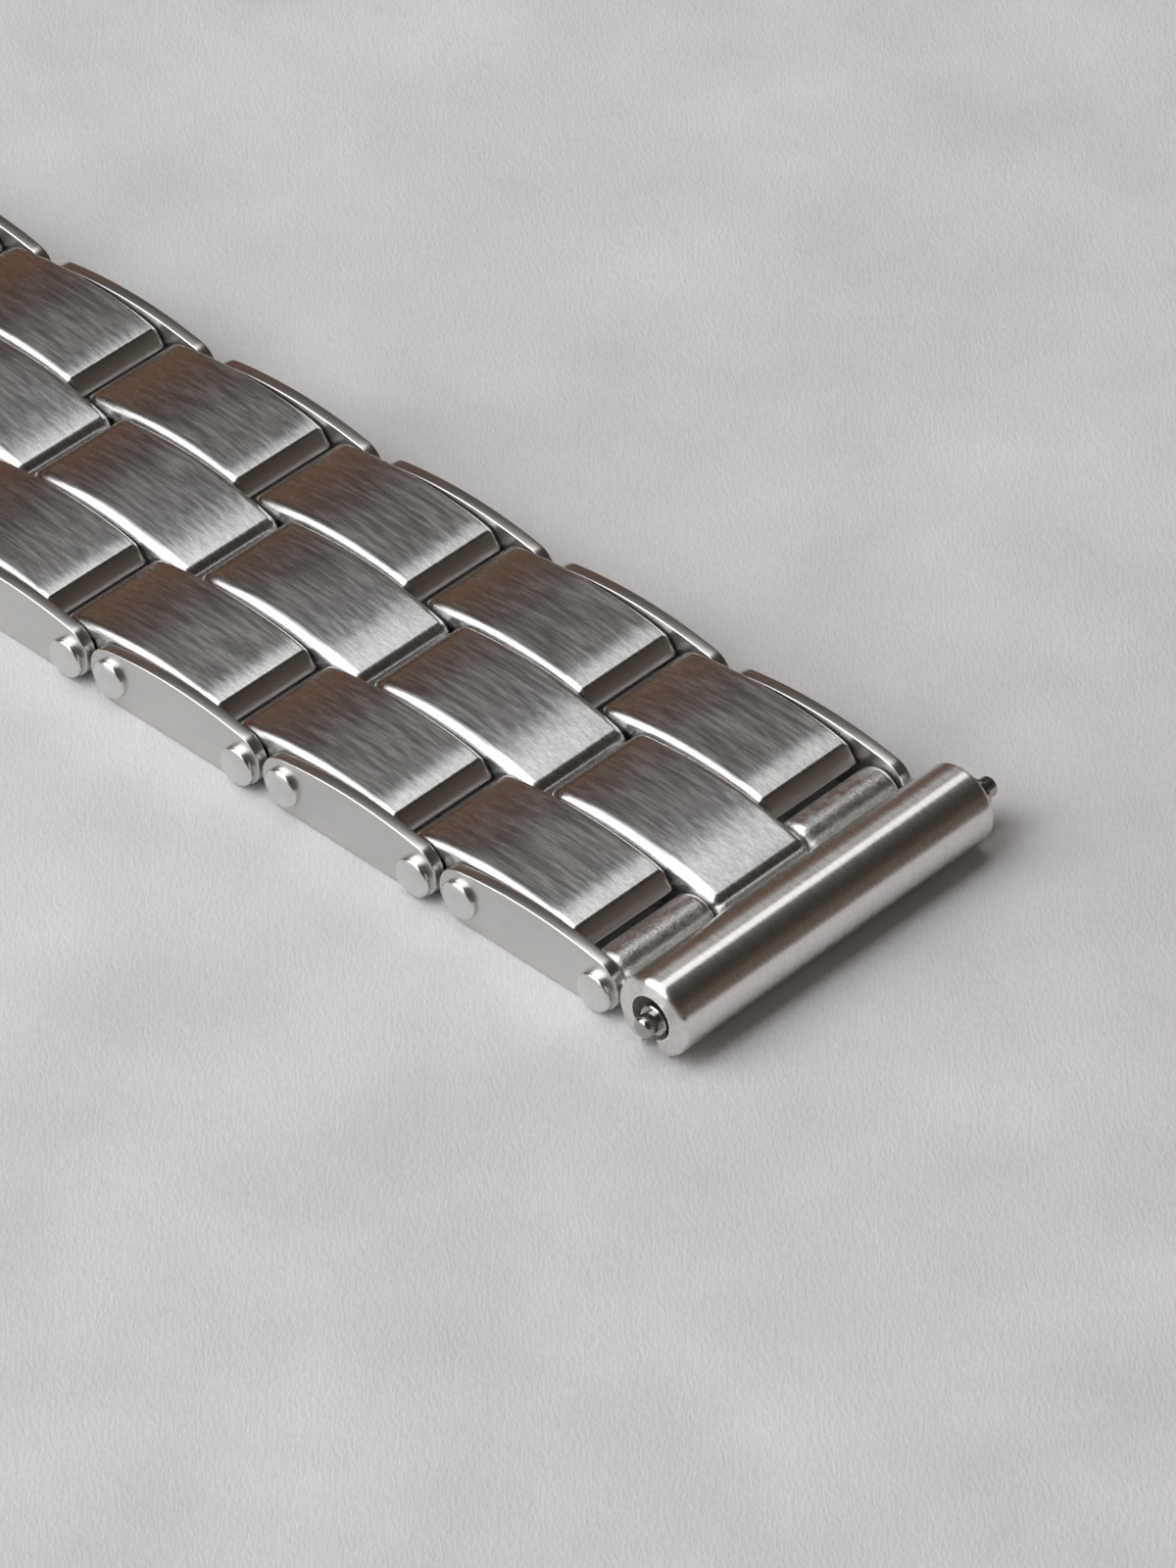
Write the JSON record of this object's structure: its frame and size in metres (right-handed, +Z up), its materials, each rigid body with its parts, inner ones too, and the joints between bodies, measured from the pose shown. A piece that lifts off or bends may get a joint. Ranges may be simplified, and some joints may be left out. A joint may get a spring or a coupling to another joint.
{
  "type": "rivet link watch bracelet",
  "caption": "Steel strap of a rivet link watch bracelet, with crowned folded links between riveted side plates and a sprung bar in the tube at each end.",
  "frame": {"origin": "on the axis of the watch spring bar, midway between the lugs", "axes": "+X towards the watch, +Y across the strap to its left, +Z up from the table that the strap lies on"},
  "size_m": [0.0732, 0.0222, 0.0039],
  "materials": {
    "centre_steel": "brushed along the strap, polished sides",
    "outer_steel": "brushed along the strap",
    "plate_steel": "satin, with a bright top edge",
    "rivet_steel": "polished heads",
    "tube_steel": "polished, with grainy knuckles",
    "bar_steel": "smooth turned steel",
    "spring_steel": "drawn wire"
  },
  "bodies": {
    "watch_end": {"end_tube": "tube_steel", "bar_barrel": "bar_steel", "bar_spring": "spring_steel"},
    "bar_plunger_left": {"bar_plunger_left": "bar_steel"},
    "bar_plunger_right": {"bar_plunger_right": "bar_steel"},
    "unit_1": {"centre_link_1": "centre_steel", "side_plate_left_1": "plate_steel", "side_plate_right_1": "plate_steel", "rivets_1": "rivet_steel"},
    "unit_2": {"centre_link_2": "centre_steel", "side_plate_left_2": "plate_steel", "side_plate_right_2": "plate_steel", "rivets_2": "rivet_steel"},
    "unit_3": {"centre_link_3": "centre_steel", "side_plate_left_3": "plate_steel", "side_plate_right_3": "plate_steel", "rivets_3": "rivet_steel"},
    "unit_4": {"centre_link_4": "centre_steel", "side_plate_left_4": "plate_steel", "side_plate_right_4": "plate_steel", "rivets_4": "rivet_steel"},
    "unit_5": {"centre_link_5": "centre_steel", "side_plate_left_5": "plate_steel", "side_plate_right_5": "plate_steel", "rivets_5": "rivet_steel"},
    "unit_6": {"centre_link_6": "centre_steel", "side_plate_left_6": "plate_steel", "side_plate_right_6": "plate_steel", "rivets_6": "rivet_steel"},
    "bridge_1": {"outer_link_left_1": "outer_steel", "outer_link_right_1": "outer_steel"},
    "bridge_2": {"outer_link_left_2": "outer_steel", "outer_link_right_2": "outer_steel"},
    "bridge_3": {"outer_link_left_3": "outer_steel", "outer_link_right_3": "outer_steel"},
    "bridge_4": {"outer_link_left_4": "outer_steel", "outer_link_right_4": "outer_steel"},
    "bridge_5": {"outer_link_left_5": "outer_steel", "outer_link_right_5": "outer_steel"},
    "clasp_end": {"clasp_end": "tube_steel", "clasp_barrel": "bar_steel", "clasp_spring": "spring_steel"},
    "clasp_plunger_left": {"clasp_plunger_left": "bar_steel"},
    "clasp_plunger_right": {"clasp_plunger_right": "bar_steel"}
  },
  "joints": [
    {"name": "near_rivet_1_hinge", "type": "hinge", "parent": "watch_end", "child": "unit_1", "pos_m": [-0.0036, 0, -0.00066], "axis": [0, -1, 0], "range_deg": [-4, 20]},
    {"name": "far_rivet_1_hinge", "type": "hinge", "parent": "unit_1", "child": "bridge_1", "pos_m": [-0.01174, 0, -0.00036], "axis": [0, -1, 0], "range_deg": [-3, 12]},
    {"name": "near_rivet_2_hinge", "type": "hinge", "parent": "bridge_1", "child": "unit_2", "pos_m": [-0.01445, 0, -0.00066], "axis": [0, -1, 0], "range_deg": [-4, 20]},
    {"name": "far_rivet_2_hinge", "type": "hinge", "parent": "unit_2", "child": "bridge_2", "pos_m": [-0.02259, 0, -0.00036], "axis": [0, -1, 0], "range_deg": [-3, 12]},
    {"name": "near_rivet_3_hinge", "type": "hinge", "parent": "bridge_2", "child": "unit_3", "pos_m": [-0.0253, 0, -0.00066], "axis": [0, -1, 0], "range_deg": [-4, 20]},
    {"name": "far_rivet_3_hinge", "type": "hinge", "parent": "unit_3", "child": "bridge_3", "pos_m": [-0.03344, 0, -0.00036], "axis": [0, -1, 0], "range_deg": [-3, 12]},
    {"name": "near_rivet_4_hinge", "type": "hinge", "parent": "bridge_3", "child": "unit_4", "pos_m": [-0.03615, 0, -0.00066], "axis": [0, -1, 0], "range_deg": [-4, 20]},
    {"name": "far_rivet_4_hinge", "type": "hinge", "parent": "unit_4", "child": "bridge_4", "pos_m": [-0.04429, 0, -0.00036], "axis": [0, -1, 0], "range_deg": [-3, 12]},
    {"name": "near_rivet_5_hinge", "type": "hinge", "parent": "bridge_4", "child": "unit_5", "pos_m": [-0.047, 0, -0.00066], "axis": [0, -1, 0], "range_deg": [-4, 20]},
    {"name": "far_rivet_5_hinge", "type": "hinge", "parent": "unit_5", "child": "bridge_5", "pos_m": [-0.05514, 0, -0.00036], "axis": [0, -1, 0], "range_deg": [-3, 12]},
    {"name": "near_rivet_6_hinge", "type": "hinge", "parent": "bridge_5", "child": "unit_6", "pos_m": [-0.05785, 0, -0.00066], "axis": [0, -1, 0], "range_deg": [-4, 20]},
    {"name": "far_rivet_6_hinge", "type": "hinge", "parent": "unit_6", "child": "clasp_end", "pos_m": [-0.06599, 0, -0.00036], "axis": [0, -1, 0], "range_deg": [-3, 12]},
    {"name": "bar_plunger_left_slide", "type": "slide", "parent": "watch_end", "child": "bar_plunger_left", "axis": [0, -1, 0], "range_m": [0, 0.001], "stiffness_N_per_m": 800, "deforming": ["bar_spring"]},
    {"name": "bar_plunger_right_slide", "type": "slide", "parent": "watch_end", "child": "bar_plunger_right", "axis": [0, 1, 0], "range_m": [0, 0.001], "stiffness_N_per_m": 800, "deforming": ["bar_spring"]},
    {"name": "clasp_plunger_left_slide", "type": "slide", "parent": "clasp_end", "child": "clasp_plunger_left", "axis": [0, -1, 0], "range_m": [0, 0.001], "stiffness_N_per_m": 800, "deforming": ["clasp_spring"]},
    {"name": "clasp_plunger_right_slide", "type": "slide", "parent": "clasp_end", "child": "clasp_plunger_right", "axis": [0, 1, 0], "range_m": [0, 0.001], "stiffness_N_per_m": 800, "deforming": ["clasp_spring"]}
  ]
}
